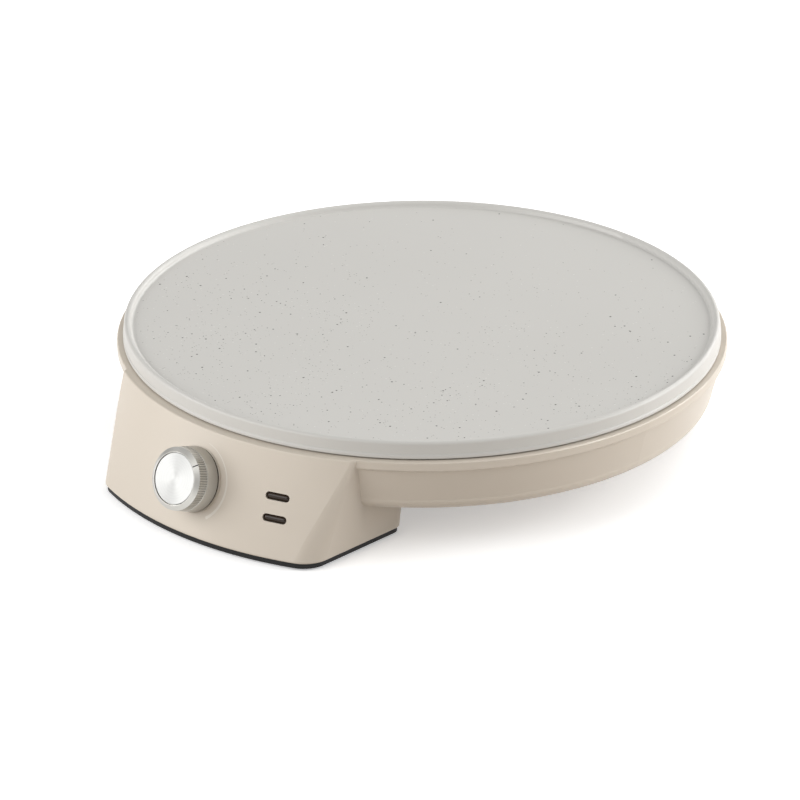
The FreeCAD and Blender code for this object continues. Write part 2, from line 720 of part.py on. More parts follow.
def control_knob():
    """Turned shell: skirt, drafted side with a band of fine teeth, bevel, and a recess for the disc."""
    z0 = seat_h + knob_gap
    low, high = z0 + 0.5, face_z - bevel_h
    teeth_low = high - teeth_len
    recess = face_z - disc_deep - disc_t
    body = turned([(0, z0 + 2), (knob_r - knob_wall, z0 + 2), (knob_r - knob_wall, z0), (knob_r - 0.5, z0),
                   (knob_r - 0.15, z0 + 0.15, knob_r, low), (side_r(teeth_low), teeth_low),
                   (side_r(teeth_low) - tooth_h, teeth_low + 0.3), (side_r(high) - tooth_h, high - 0.2),
                   (side_r(high), high), (bevel_r - bevel_w, face_z), (disc_r + groove_w, face_z),
                   (disc_r + groove_w, recess), (0, recess)])
    body = fuse(body, knob_teeth(teeth_low, high))
    body = body.cut(cyl(knob_r - knob_wall - 0.3, z0 - 1, recess - 1.6))
    # pointer line across the bevel
    mark = box(-0.3, 0.3, bevel_r - bevel_w - 0.2, bevel_r + 1, face_z - bevel_h - 0.2, face_z + 1)
    ramp = Part.makeCone(bevel_r + 0.35, bevel_r - bevel_w - 0.25 * bevel_w / bevel_h, bevel_h + 0.5,
                         V(0, 0, face_z - bevel_h - 0.35), V(0, 0, 1))
    mark = mark.cut(ramp)
    mark.rotate(V(0, 0, 0), V(0, 0, 1), pointer_a)
    return at_knob(body.cut(mark))


def side_r(z):
    """Radius of the knob's side at a height above its seat."""
    return knob_r - knob_draft * (z - seat_h - knob_gap - 0.5)


def knob_teeth(low, high):
    """Pleated band whose crests lie on the knob's side."""
    wires = []
    for z in (low, high):
        points = []
        for i in range(teeth_n):
            for k, r in ((0.0, side_r(z)), (0.5, side_r(z) - tooth_h)):
                a = 2 * pi * (i + k) / teeth_n
                points.append(V(r * cos(a), r * sin(a), z))
        wires.append(Part.makePolygon(points + points[:1]))
    band = Part.makeLoft(wires, True, True)
    return band.cut(cyl(knob_r - knob_wall + 0.4, low - 1, high + 1))


def knob_disc():
    top = face_z - disc_deep
    disc = cyl(disc_r, top - disc_t, top)
    disc = disc.makeFillet(0.3, [e for e in disc.Edges if e.BoundBox.ZMin > top - 0.05])
    return at_knob(disc)


def d_bore(r, flat, z0, z1):
    return cyl(r, z0, z1).cut(box(-r - 1, r + 1, flat, r + 1, z0 - 1, z1 + 1))


def knob_hub():
    """Moulded insert with four ribs, pressed into the shell, with the D bore for the shaft."""
    z0 = seat_h + knob_gap
    bore = knob_r - knob_wall - 0.35
    top = z0 + 1.0 + hub_len
    hub = turned([(0, z0 + 1.0), (hub_r - 0.2, z0 + 1.0), (hub_r, top - 1.4), (bore, top - 1.4),
                  (bore, top), (0, top)])
    ribs = [box(hub_r - 1.0, bore, -0.8, 0.8, z0 + 2.2, top - 1.0)]
    for k in range(1, 4):
        rib = ribs[0].copy()
        rib.rotate(V(0, 0, 0), V(0, 0, 1), 90 * k)
        ribs.append(rib)
    hub = fuse(hub, *ribs)
    return at_knob(hub.cut(d_bore(shaft_r + shaft_fit, flat_at + shaft_fit, z0 - 1, top - 0.6)))


def knob_ring():
    """Thin dark trim washer between the knob and its seat."""
    return at_knob(ring(knob_r - 0.4, 9.0, seat_h, seat_h + 0.4))


def thermostat_shaft():
    z0 = seat_h + knob_gap
    shaft = cyl(shaft_r, stat_plate_z - 7.0, z0 + 9.0)
    shaft = shaft.cut(box(-4, 4, flat_at, 4, z0 + 0.6, z0 + 12))
    return at_knob(shaft)


def thermostat_body():
    z = stat_plate_z - stat_plate_t
    block = box(-stat_half_w, stat_half_w, -stat_half_h, stat_half_h, z - stat_deep, z)
    block = block.makeFillet(2.0, upright(block, stat_deep))
    solid = fuse(block, cyl(stat_neck_r, z - 1, 0.6))
    solid = solid.cut(cyl(shaft_r + shaft_fit, z - 9, 1))
    return at_knob(solid)


def thermostat_bracket():
    z, reach = stat_plate_z, stat_screw_x + 5.0
    plate = box(-reach, reach, -8, 8, z - stat_plate_t, z)
    plate = plate.makeFillet(4.0, upright(plate, stat_plate_t))
    plate = plate.cut(cyl(stat_neck_r + 0.1, z - 3, z + 1))
    for s in (-1, 1):
        plate = plate.cut(cyl(screw_r + pass_fit, z - 3, z + 1, s * stat_screw_x))
    return at_knob(plate)


def thermostat_screws():
    seat = stat_plate_z - stat_plate_t
    return [at_knob(screw(s * stat_screw_x, 0, seat, 6.0, screw_r, 2.8, 1.8)) for s in (-1, 1)]


def thermostat_tabs():
    z = stat_plate_z - stat_plate_t - stat_deep
    return [at_knob(box(x - 3.1, x + 3.1, -5.4, -4.6, z - 7.5, z)) for x in (-6.5, 6.5)]


def capillary_tube():
    """Thin tube from the bulb down through the heat shield to the thermostat."""
    z, back = under_z - bulb_r - thread_fit, stat_plate_z - stat_plate_t - stat_deep
    end = at_knob(Part.Vertex(-8, 5, back - 0.02)).Vertexes[0].Point
    out = at_knob(Part.Vertex(-8, 5, back - 3.0)).Vertexes[0].Point
    x, y = tube_hole
    pts = [(-30, -60, z), (-32, -60, z), (-37, -61, z - 0.5), (x + 3, y + 6, z - 4), (x, y, shield_z),
           (x + 2, y - 8, shield_z - 7.5), (-32, -100, 34.0), (-16, -118, 33.5),
           (out.x, out.y, out.z), (end.x, end.y, end.z)]
    return rod(pts, 0.8)


def lens(y):
    l, w = lamp_slot[0] - 2 * lamp_fit, lamp_slot[1] - 2 * lamp_fit
    front = stadium(l, w, -wall - 0.8, -lens_sunk)
    back = stadium(l + lens_flange[0], w + lens_flange[1], flange_low, -wall - 0.5)
    shape = front.fuse(back)
    shape.translate(V(0, y, 0))
    return at_lamps(shape.removeSplitter())


def lamp_holder():
    """White carrier screwed to the pod front; it holds the lenses in their slots and the lamps."""
    low, high = -14.0, -wall - 0.6
    block = box(-9.5, 9.5, -11.0, 11.0, low, high)
    block = block.makeFillet(1.2, upright(block, high - low))
    ear = box(lamp_boss_x - 4.0, -8.0, -4.0, 4.0, lamp_boss_z - 2.0, lamp_boss_z)
    solid = fuse(block, ear)
    for y in lamp_y:
        seat = stadium(lamp_slot[0] + lens_flange[0], lamp_slot[1] + lens_flange[1], flange_low, -wall)
        well = stadium(lamp_slot[0] - 0.5, 2 * neon_r + 0.8, -12.5, flange_low + 0.1)
        for s in (seat, well):
            s.translate(V(0, y, 0))
            solid = solid.cut(s)
        for x in neon_legs:
            solid = solid.cut(cyl(0.8, low - 1, -12, x, y))
    return at_lamps(solid.cut(cyl(fine_screw_r + pass_fit, lamp_boss_z - 3, lamp_boss_z + 1, lamp_boss_x)))


def lamp_screw():
    return at_lamps(screw(lamp_boss_x, 0, lamp_boss_z - 2.0, 7.0, fine_screw_r, 2.4, 1.6))


def neon_lamps():
    out = []
    for y in lamp_y:
        bulb = Part.makeCylinder(neon_r, 9.6, V(-4.8, y, -8.2), V(1, 0, 0))
        bulb = bulb.makeFillet(1.2, [e for e in bulb.Edges if e.BoundBox.XLength < 1e-6])
        for x in neon_legs:
            bulb = bulb.fuse(cyl(0.4, -16, -9.0, x, y))
        out.append(at_lamps(bulb))
    return out


def terminal_block():
    z = block_z
    solid = box(block_x - 15, block_x + 15, block_y - 8, block_y + 8, z, z + block_h)
    top = [e for e in solid.Edges if e.BoundBox.ZMin > z + block_h - 0.1]
    solid = solid.makeChamfer(0.8, top)
    for x in block_ways:
        solid = solid.cut(Part.makeCylinder(1.8, 20, V(x, block_y - 10, way_z), V(0, 1, 0)))
        for y in (block_y - 4.5, block_y + 4.5):
            solid = solid.cut(cyl(1.9, way_z, z + block_h + 2, x, y))
    for x in block_fix:
        solid = solid.cut(cyl(fine_screw_r + pass_fit, z - 1, z + block_h, x, block_y))
        solid = solid.cut(cyl(2.7, block_seat, z + block_h + 1, x, block_y))
    return solid


def terminal_screws():
    """Six brass screws with their tips against the leads."""
    out = []
    for x in block_ways:
        for y in (block_y - 4.5, block_y + 4.5):
            s = cyl(1.8, way_z + lead_r + 0.2, block_z + block_h - 0.6, x, y)
            out.append(s.cut(box(x - 2, x + 2, y - 0.3, y + 0.3, block_z + block_h - 1.3, block_z + block_h)))
    return out


def block_screws():
    return [screw(x, block_y, block_seat, 9.5, fine_screw_r, 2.4, 1.6, up=False) for x in block_fix]


def lead_wires():
    """Insulated leads from the terminal block to the thermostat, the heating pins and the earth tag."""
    far = stat_plate_z - stat_plate_t - stat_deep - 7.5
    tab_in, tab_off = [[tuple(at_knob(Part.Vertex(x, -5.0, far - d)).Vertexes[0].Point) for d in (0.02, 4.0)]
                       for x in (-6.5, 6.5)]
    (xr, yr), (xl, yl) = heat_ends()[0]
    ex, ey, ez = small_bosses()[2]
    tag_y, tag_z = ey - 16.02, ez - clip_t / 2.0
    pin_z = heat_low - 6.7
    floor = bowl_floor + wall
    left, middle, right = block_ways
    sill, y = -window_back, block_y

    def from_block(x):
        return [(x, block_y - d, way_z) for d in (2.0, 8.0, 12.0)]
    runs = [
        # block to thermostat
        from_block(middle) + [(middle + 7, y - 17, way_z + 0.5), (-20, y - 18, way_z + 2.5),
                              (-9, y - 19, way_z + 4.5), tab_in[1], tab_in[0]],
        # thermostat to one end of the heating ring
        tab_off + [(9, y - 13, way_z + 7), (13, sill - 4, bowl_floor), (xr, sill + 4, floor + 5),
                   (xr, yr - 8, pin_z), (xr, yr - pin_r - 0.02, pin_z)],
        # block to the other end
        from_block(right) + [(right + 7, y - 15, way_z + 5), (-14, y - 12, way_z + 10),
                             (-6, sill - 4, bowl_floor + 1), (-7, sill + 4, floor + 5),
                             (xl, yl - 8, pin_z), (xl, yl - pin_r - 0.02, pin_z)],
        # block to the earth tag on the plate
        from_block(left) + [(left + 10, y - 20, way_z + 6), (-22, y - 18, way_z + 10.5),
                            (-4, y - 13, way_z + 13), (3, sill - 4, bowl_floor + 2),
                            (4, sill + 4, floor + 5), (3, -104, 37), (5, -95, 43), (14, -88, 47.5),
                            (27, -83, 50.5), (ex - 2, ey - 22, tag_z), (ex, tag_y - 2, tag_z),
                            (ex, tag_y, tag_z)]]
    return [rod(points, lead_r, square=True) for points in runs]


def cord_gland():
    """Rubber bush: a square neck that slides up into the notch, a flange outside and a lip inside."""
    def along(r, y0, y1):
        return Part.makeCylinder(r, y1 - y0, V(gland_x, y0, gland_z), V(0, 1, 0))
    wall_out, wall_in = -pod_back, -pod_back - wall
    half, wide = gland_r, gland_r + gland_lip
    neck = box(gland_x - half, gland_x + half, wall_in, wall_out, pod_low + gland_fit, gland_z + half)
    flange = along(wide, wall_out, wall_out + flange_t)
    lower = box(gland_x - wide, gland_x + wide, wall_out, wall_out + flange_t, pod_low + 1.0, gland_z)
    flange = fuse(flange, lower)
    flange = flange.makeFillet(1.0, [e for e in flange.Edges
                                     if e.BoundBox.YMin > wall_out + flange_t - 0.1])
    lock = along(wide - 0.6, wall_in - 2.6, wall_in)
    return fuse(neck, flange, lock).cut(along(gland_bore, wall_in - 5, wall_out + 5))


def cord_clamp():
    reach = clamp_x + 3.5
    bar = box(gland_x - reach, gland_x + reach, clamp_y - 4, clamp_y + 4, clamp_z, clamp_z + clamp_t)
    bar = bar.makeFillet(3.0, upright(bar, clamp_t))
    for s in (-1, 1):
        bar = bar.cut(cyl(screw_r + pass_fit, clamp_z - 1, clamp_z + 4, gland_x + s * clamp_x, clamp_y))
    return bar


def clamp_screws():
    z = clamp_z + clamp_t
    return [screw(gland_x + s * clamp_x, clamp_y, z, 10.0, screw_r, 2.8, 1.8, up=False) for s in (-1, 1)]


def group(shapes):
    return Part.makeCompound(shapes)


put("griddle_plate", griddle_plate())
put("heating_element", heating_element())
put("element_insulators", group(element_insulators()))
put("element_pins", group(element_pins()))
put("element_straps", group(element_straps()))
put("strap_screws", group(strap_screws()))
put("sensor_bulb", sensor_bulb())
put("sensor_clip", sensor_clip())
put("thermal_fuse", thermal_fuse())
put("fuse_clip", fuse_clip())
put("earth_tag", earth_tag())
put("clip_screws", group(clip_screws()))
put("heat_shield", heat_shield())
put("post_sleeves", group(post_sleeves()))
put("plate_screws", group(plate_screws()))
put("housing", housing())
put("base_cover", base_cover())
put("base_screws", group(base_screws()))
put("front_feet", group(pads_front()))
put("rear_feet", group(pads_rear()))
put("control_knob", control_knob())
put("knob_disc", knob_disc())
put("knob_hub", knob_hub())
put("knob_ring", knob_ring())
put("thermostat_shaft", thermostat_shaft())
put("thermostat_body", thermostat_body())
put("thermostat_bracket", thermostat_bracket())
put("thermostat_screws", group(thermostat_screws()))
put("thermostat_tabs", group(thermostat_tabs()))
put("capillary_tube", capillary_tube())
put("indicator_lens_upper", lens(lamp_y[0]))
put("indicator_lens_lower", lens(lamp_y[1]))
put("lamp_holder", lamp_holder())
put("lamp_screw", lamp_screw())
put("neon_lamps", group(neon_lamps()))
put("terminal_block", terminal_block())
put("terminal_screws", group(terminal_screws()))
put("block_screws", group(block_screws()))
put("lead_wires", group(lead_wires()))
put("cord_gland", cord_gland())
put("cord_clamp", cord_clamp())
put("clamp_screws", group(clamp_screws()))
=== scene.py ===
import json
import math

import bpy
from mathutils import Matrix, Vector


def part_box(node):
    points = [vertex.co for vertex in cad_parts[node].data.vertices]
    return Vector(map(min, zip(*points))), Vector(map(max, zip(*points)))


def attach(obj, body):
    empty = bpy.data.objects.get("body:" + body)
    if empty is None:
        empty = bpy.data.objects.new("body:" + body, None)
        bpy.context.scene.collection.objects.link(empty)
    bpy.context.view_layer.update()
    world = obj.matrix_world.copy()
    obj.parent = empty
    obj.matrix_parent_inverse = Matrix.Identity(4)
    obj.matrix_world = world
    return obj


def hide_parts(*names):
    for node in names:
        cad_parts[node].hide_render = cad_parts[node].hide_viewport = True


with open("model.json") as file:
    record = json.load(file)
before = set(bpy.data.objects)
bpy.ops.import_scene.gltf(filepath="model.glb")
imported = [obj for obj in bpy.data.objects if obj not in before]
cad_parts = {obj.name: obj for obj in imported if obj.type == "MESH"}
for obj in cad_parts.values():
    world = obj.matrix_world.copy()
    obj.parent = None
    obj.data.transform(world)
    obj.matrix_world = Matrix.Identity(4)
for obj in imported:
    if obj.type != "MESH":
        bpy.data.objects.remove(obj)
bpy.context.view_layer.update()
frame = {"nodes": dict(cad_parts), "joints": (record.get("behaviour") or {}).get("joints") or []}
mm = 0.001


# Viewpoint.
# The object is seen from its front right, about 25 degrees above the table, through a long lens.
# The camera is placed from the plate's axis, which everything else in the view is centred on.
plate_low, plate_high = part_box("griddle_plate")
plate_axis = Vector(((plate_low.x + plate_high.x) / 2, (plate_low.y + plate_high.y) / 2, 0))
eye = plate_axis + Vector((2917.6, -3101.0, 1966.6)) * mm
heading, pitch, roll = math.radians(43.41), math.radians(24.58), math.radians(-0.14)
ahead = Vector((-math.sin(heading) * math.cos(pitch),
                math.cos(heading) * math.cos(pitch),
                -math.sin(pitch)))
right = Vector((math.cos(heading), math.sin(heading), 0))
right_rolled = right * math.cos(roll) + right.cross(ahead) * math.sin(roll)

viewpoint = bpy.data.cameras.new("viewpoint")
viewpoint.sensor_width = 36
viewpoint.lens = 405
viewpoint.clip_end = 30
camera = bpy.data.objects.new("viewpoint", viewpoint)
axes = Matrix((right_rolled, right_rolled.cross(ahead), -ahead)).transposed()
camera.matrix_world = Matrix.Translation(eye) @ axes.to_4x4()
bpy.context.scene.collection.objects.link(camera)
bpy.context.scene.camera = camera
bpy.context.scene.view_settings.view_transform = "Standard"


# Housing.
# One thick-walled moulding in glossy warm beige: bowl, front pod and rear legs in one piece.
# It comes from a fine mould, so the gloss is soft and even, with the faint ripple that such skins have.
class Wire:
    """A value on its way through a finish. Arithmetic on it adds Math nodes."""

    def __init__(self, finish, socket):
        self.finish, self.socket = finish, socket

    def maths(self, operation, *values):
        """The result of a Math node on the given values."""
        return self.finish.node("ShaderNodeMath", {"operation": operation}, dict(enumerate(values)))

    def __add__(self, other):
        return self.maths("ADD", self, other)

    def __sub__(self, other):
        return self.maths("SUBTRACT", self, other)

    def __rsub__(self, other):
        return self.maths("SUBTRACT", other, self)

    def __mul__(self, other):
        return self.maths("MULTIPLY", self, other)

    def __lt__(self, other):
        return self.maths("LESS_THAN", self, other)

    def __gt__(self, other):
        return self.maths("GREATER_THAN", self, other)

    __radd__, __rmul__ = __add__, __mul__

    def vector_maths(self, operation, other=(0, 0, 0), output=0):
        """The result of a Vector Math node on this place or direction and another."""
        settings = {"operation": operation}
        return self.finish.node("ShaderNodeVectorMath", settings, {0: self, 1: other}, output)

    def along(self, direction):
        """How far a place lies along a direction."""
        return self.vector_maths("DOT_PRODUCT", tuple(direction), "Value")

    def root(self):
        return self.maths("SQRT", self)

    def ramp(self, start, end):
        """0 at start and 1 at end, smooth between them."""
        return self.finish.node("ShaderNodeMapRange", {"interpolation_type": "SMOOTHSTEP"},
                                {"Value": self, "From Min": start, "From Max": end})


class Finish:
    """One surface finish. Values that are the same all over sit on the shader's own sockets."""

    def __init__(self, name, steady):
        self.material = bpy.data.materials.new(name)
        self.material.use_nodes = True
        self.tree = self.material.node_tree
        self.shader = self.tree.nodes["Principled BSDF"]
        for socket, value in steady.items():
            self.shader.inputs[socket].default_value = value
        self.place = self.node("ShaderNodeTexCoord", output="Object")

    def node(self, kind, settings=None, sockets=None, output=0):
        """Adds a node: its settings first, then the values or links of its sockets."""
        made = self.tree.nodes.new(kind)
        for key, value in (settings or {}).items():
            setattr(made, key, value)
        for key, value in (sockets or {}).items():
            self.feed(made.inputs[key], value)
        return Wire(self, made.outputs[output])

    def feed(self, socket, value):
        if isinstance(value, Wire):
            self.tree.links.new(value.socket, socket)
        else:
            socket.default_value = value

    def surface(self, varying):
        """Links what changes over the surface to the shader."""
        for socket, value in varying.items():
            self.feed(self.shader.inputs[socket], value)

    def noise(self, per_metre, detail=2.0):
        """Soft blotches from 0 to 1, so many to a metre."""
        return self.node("ShaderNodeTexNoise", None,
                         {"Vector": self.place, "Scale": per_metre, "Detail": detail})

    def blend(self, share, first, second):
        """The first colour where share is 0, the second where it is 1."""
        return self.node("ShaderNodeMix", {"data_type": "RGBA"},
                         {0: share, 6: first, 7: second}, output=2)

    def relief(self, height, depth, strength):
        """Normal of a surface whose height runs from 0 to 1 over the given depth in metres."""
        return self.node("ShaderNodeBump", None,
                         {"Height": height, "Distance": depth, "Strength": strength})


def colour(red, green, blue):
    """A colour written as it looks on a screen, 0 to 255, as the light it stands for."""
    parts = [value / 255 for value in (red, green, blue)]
    light = [p / 12.92 if p < 0.04045 else ((p + 0.055) / 1.055) ** 2.4 for p in parts]
    return (*light, 1.0)


def dress(node, finish):
    """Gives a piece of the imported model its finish."""
    for place in frame["nodes"][node].material_slots:
        place.material = finish.material


turn = frame["joints"][0]
knob_seat, knob_axis = Vector(turn["pos_m"]), Vector(turn["axis"]).normalized()
up_slope = knob_axis.cross(Vector((1, 0, 0)))

gloss_beige = Finish("gloss_beige", {"IOR": 1.5})
mottle = gloss_beige.noise(9.0)
ripple = gloss_beige.noise(420.0, 1.0)
haze = gloss_beige.noise(60.0, 3.0)
beige = gloss_beige.blend(mottle, colour(213, 203, 189), colour(215, 205, 191))
# heat scale printed round the knob: a thin line that widens as it goes clockwise
scale_in, scale_out, scale_widening = 20.4 * mm, 20.5 * mm, 0.55 * mm
scale_start, scale_end = 0.2, 2.5                   # radians clockwise from the top
print_deep, print_cover = 6 * mm, 0.55
from_seat = gloss_beige.place.vector_maths("SUBTRACT", tuple(knob_seat))
across, up = from_seat.along((1, 0, 0)), from_seat.along(up_slope)
out = (across * across + up * up).root()
clock = across.maths("ARCTAN2", across, up)
line = (out > scale_in) * (out < clock * scale_widening + scale_out)
line = line * (clock > scale_start) * (clock < scale_end)
depth = from_seat.along(knob_axis)
print_share = line * (depth > -print_deep) * (depth < print_deep) * print_cover
gloss_beige.surface({
    "Base Color": gloss_beige.blend(print_share, beige, colour(238, 234, 226)),
    "Roughness": 0.3 + haze * 0.04,
    "Normal": gloss_beige.relief(ripple, 0.01 * mm, 0.1)})
dress("housing", gloss_beige)


# Thermostat.
# A moulded switch block on a sheet bracket, held behind the pod's front by two screws.
# Its steel shaft passes through the front for the knob, and a thin tube links it to the sensor.
def plain_metal(name, tone, shade, roughness, per_metre=700.0):
    """A metal with faint blotches of tone and dullness, as plating and rolling leave."""
    finish = Finish(name, {"Metallic": 1.0})
    blotch = finish.noise(per_metre, 4.0)
    finish.surface({
        "Base Color": finish.blend(blotch, colour(*tone), colour(*shade)),
        "Roughness": roughness + blotch * 0.15,
        "Normal": finish.relief(blotch, 0.01 * mm, 0.4)})
    return finish


def plain_moulding(name, tone, shade, roughness, per_metre=1500.0):
    """An unpainted moulding with the fine grain of an etched mould."""
    finish = Finish(name, {"IOR": 1.4})
    grain = finish.noise(per_metre, 3.0)
    finish.surface({
        "Base Color": finish.blend(grain, colour(*tone), colour(*shade)),
        "Roughness": roughness + grain * 0.1,
        "Normal": finish.relief(grain, 0.03 * mm, 0.6)})
    return finish


zinc_plate = plain_metal("zinc_plate", (196, 198, 200), (176, 178, 176), 0.28)
sheet_steel = plain_metal("sheet_steel", (190, 190, 188), (172, 172, 170), 0.35, 200.0)
turned_brass = plain_metal("turned_brass", (214, 184, 118), (196, 164, 100), 0.3)
drawn_copper = plain_metal("drawn_copper", (206, 146, 110), (180, 118, 84), 0.3, 300.0)
brown_phenolic = plain_moulding("brown_phenolic", (66, 52, 44), (56, 44, 38), 0.4)
for node in ("thermostat_shaft", "thermostat_screws"):
    dress(node, zinc_plate)
dress("thermostat_bracket", sheet_steel)
dress("thermostat_body", brown_phenolic)
dress("thermostat_tabs", turned_brass)
dress("capillary_tube", drawn_copper)


# Indicator lamps.
# Two neon capsules in a white carrier sit behind two smoked lenses, which are pushed into slots.
# The lenses are slightly crowned, and almost black when the lamps are off.
slope, lamp_turn = math.radians(19.6), math.radians(17.4)
lens_long, lens_wide, lens_flange = 13.1 * mm, 3.6 * mm, 1.1 * mm
# heights from the pod's front
lens_crown, lens_edge, flange_front, lens_back = -0.5 * mm, -1.3 * mm, -3.1 * mm, -4.5 * mm
edge_drop, edge_inset, ridge = 0.15 * mm, 0.06 * mm, 0.02 * mm
lamps_out, lamps_up, lens_apart = 169.46 * mm, 29.0 * mm, 11.26 * mm
lamps_away = Vector((math.sin(lamp_turn), -math.cos(lamp_turn), 0))
lamps_across = Vector((math.cos(lamp_turn), math.sin(lamp_turn), 0))
lamps_face = lamps_away * math.cos(slope) + Vector((0, 0, math.sin(slope)))
lamps_rise = lamps_face.cross(lamps_across)
lamps_middle = plate_axis + lamps_away * lamps_out + Vector((0, 0, lamps_up))


def crowned_lens(name, node, lift):
    """A flanged bar with round ends whose face rises from its edge to a crown."""
    half, steps, crown_steps = (lens_long - lens_wide) / 2, 12, 9
    rings = [(-lens_flange, lens_back), (-lens_flange, flange_front), (0.0, flange_front),
             (0.0, lens_edge - edge_drop), (edge_inset, lens_edge)]
    side_rings = len(rings) - 1
    for k in range(1, crown_steps + 1):
        share = k / crown_steps
        rings.append((share * (lens_wide / 2 - ridge),
                      lens_edge + (lens_crown - lens_edge) * math.sin(share * math.pi / 2)))
    points, faces = [], []
    for inset, height in rings:
        radius = lens_wide / 2 - inset
        for end in (1, -1):
            for k in range(steps + 1):
                angle = -math.pi / 2 + math.pi * k / steps
                points.append((end * (half + radius * math.cos(angle)),
                               end * radius * math.sin(angle), height))
    count = 2 * (steps + 1)
    for start in range(0, (len(rings) - 1) * count, count):
        for k in range(count):
            a, b = start + k, start + (k + 1) % count
            faces.append((a, b, b + count, a + count))
    faces += [tuple(range(len(points) - count, len(points))), tuple(range(count - 1, -1, -1))]
    mesh = bpy.data.meshes.new(name)
    mesh.from_pydata(points, [], faces)
    mesh.polygons.foreach_set("use_smooth", [n >= side_rings * count for n in range(len(faces))])
    mesh.materials.append(smoked_lens.material)
    lens = bpy.data.objects.new(name, mesh)
    axes = Matrix((lamps_across, lamps_rise, lamps_face)).transposed().to_4x4()
    lens.matrix_world = Matrix.Translation(lamps_middle + lamps_rise * lift) @ axes
    bpy.context.scene.collection.objects.link(lens)
    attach(lens, "base")
    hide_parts(node)


smoked_lens = Finish("smoked_lens", {"Roughness": 0.15, "IOR": 1.38})
swirl = smoked_lens.noise(300.0)
smoked_lens.surface({
    "Base Color": smoked_lens.blend(swirl, colour(56, 42, 30), colour(38, 29, 22)),
    "Normal": smoked_lens.relief(swirl, 0.04 * mm, 0.4)})
crowned_lens("crowned_lens_upper", "indicator_lens_upper", lens_apart / 2)
crowned_lens("crowned_lens_lower", "indicator_lens_lower", -lens_apart / 2)

white_carrier = plain_moulding("white_carrier", (214, 214, 208), (206, 206, 200), 0.45)
dress("lamp_holder", white_carrier)
dress("lamp_screw", zinc_plate)

lamp_glass = Finish("lamp_glass", {"IOR": 1.45, "Transmission Weight": 0.8})
film = lamp_glass.noise(900.0)
lamp_glass.surface({
    "Base Color": lamp_glass.blend(film, colour(246, 222, 204), colour(240, 206, 184)),
    "Roughness": 0.05 + film * 0.05})
dress("neon_lamps", lamp_glass)


# Mains inlet.
# A rubber gland in the pod's rear wall, a nylon clamp behind it and a nylon terminal block.
# The clamp and the block are screwed to pillars of the base cover, and the sleeved leads start there.
black_rubber = plain_moulding("black_rubber", (42, 42, 43), (34, 34, 35), 0.6)
natural_nylon = plain_moulding("natural_nylon", (222, 216, 200), (212, 206, 188), 0.42)
dress("cord_gland", black_rubber)
dress("cord_clamp", natural_nylon)
dress("terminal_block", natural_nylon)
dress("terminal_screws", turned_brass)
for node in ("clamp_screws", "block_screws"):
    dress(node, zinc_plate)
silicone_sleeve = plain_moulding("silicone_sleeve", (158, 62, 50), (146, 54, 44), 0.5)
dress("lead_wires", silicone_sleeve)


# Base cover and feet.
# A matt black moulding closes the pod from below, with four screws in recesses.
# Rubber pads under it and under the rear legs carry the part.
matt_black = plain_moulding("matt_black", (22, 21, 21), (16, 16, 16), 0.5)
dress("base_cover", matt_black)
dress("base_screws", zinc_plate)
for node in ("front_feet", "rear_feet"):
    dress(node, black_rubber)


# Heat shield and the posts through it.
# A pressed tray of aluminised sheet keeps the plate's heat off the housing.
# Ceramic sleeves round the three long screws hold the tray and the plate apart.
white_ceramic = plain_moulding("white_ceramic", (232, 228, 216), (224, 218, 204), 0.25, 300.0)
dress("heat_shield", sheet_steel)
dress("post_sleeves", white_ceramic)
dress("plate_screws", zinc_plate)


# Heating element and its sensors.
# A steel-sheathed tube lies in the plate's channel under three straps, its ends in ceramic beads.
# The thermostat's bulb, a thermal fuse and the earth tag are clipped to the plate beside it.
tinted_sheath = plain_metal("tinted_sheath", (120, 112, 104), (92, 82, 74), 0.45, 90.0)
dress("heating_element", tinted_sheath)
dress("element_insulators", white_ceramic)
dress("element_pins", zinc_plate)
for node in ("element_straps", "sensor_clip", "fuse_clip"):
    dress(node, sheet_steel)
for node in ("strap_screws", "clip_screws", "thermal_fuse"):
    dress(node, zinc_plate)
dress("sensor_bulb", drawn_copper)
dress("earth_tag", turned_brass)


# Griddle plate.
# Cast aluminium with a low rim. A pale grey non-stick coating with dark and light specks is sprayed
# on from above, over the cooking face and the rim; the underside is left as cast.
cook_high, cook_out = 63.4 * mm, 148.5 * mm         # the cooking face inside the rim
under_high, under_out = 58.9 * mm, 153.0 * mm       # the bare underside inside the skirt
specks_end, specks_full = -130 * mm, 60 * mm        # along the way to the front, from the axis
coating = Finish("speckled_coating", {"IOR": 1.5})
plate_place = coating.place.vector_maths("SUBTRACT", tuple(plate_axis))
height = plate_place.along((0, 0, 1))
from_axis = plate_place.vector_maths("MULTIPLY", (1, 1, 0)).vector_maths("LENGTH", output="Value")
flat = (from_axis < cook_out) * (height > cook_high - 0.5 * mm)
under = (height < under_high) * (from_axis < under_out)
frontward = plate_place.along((0.25, -0.97, 0)).ramp(specks_end, specks_full)


def specks(per_metre, largest, share, crowding):
    """1 inside scattered specks, 0 between them. Largest is a radius as a share of a cell.
    Share is how many of the cells hold a speck where crowding is 1."""
    nearest = {"voronoi_dimensions": "2D", "feature": "F1"}
    cells = {"Vector": coating.place, "Scale": per_metre, "Randomness": 1.0}
    far = coating.node("ShaderNodeTexVoronoi", nearest, cells, "Distance")
    draw = coating.node("ShaderNodeTexVoronoi", nearest, cells, "Color")
    lot = coating.node("ShaderNodeSeparateColor", None, {"Color": draw}, "Red")
    spread = coating.node("ShaderNodeSeparateColor", None, {"Color": draw}, "Green")
    smallest, soft_edge = 0.4, 0.05
    size = (lot > 1.0 - crowding * share) * (spread * (1 - smallest) + smallest) * largest
    return (size - far).ramp(0.0, soft_edge)


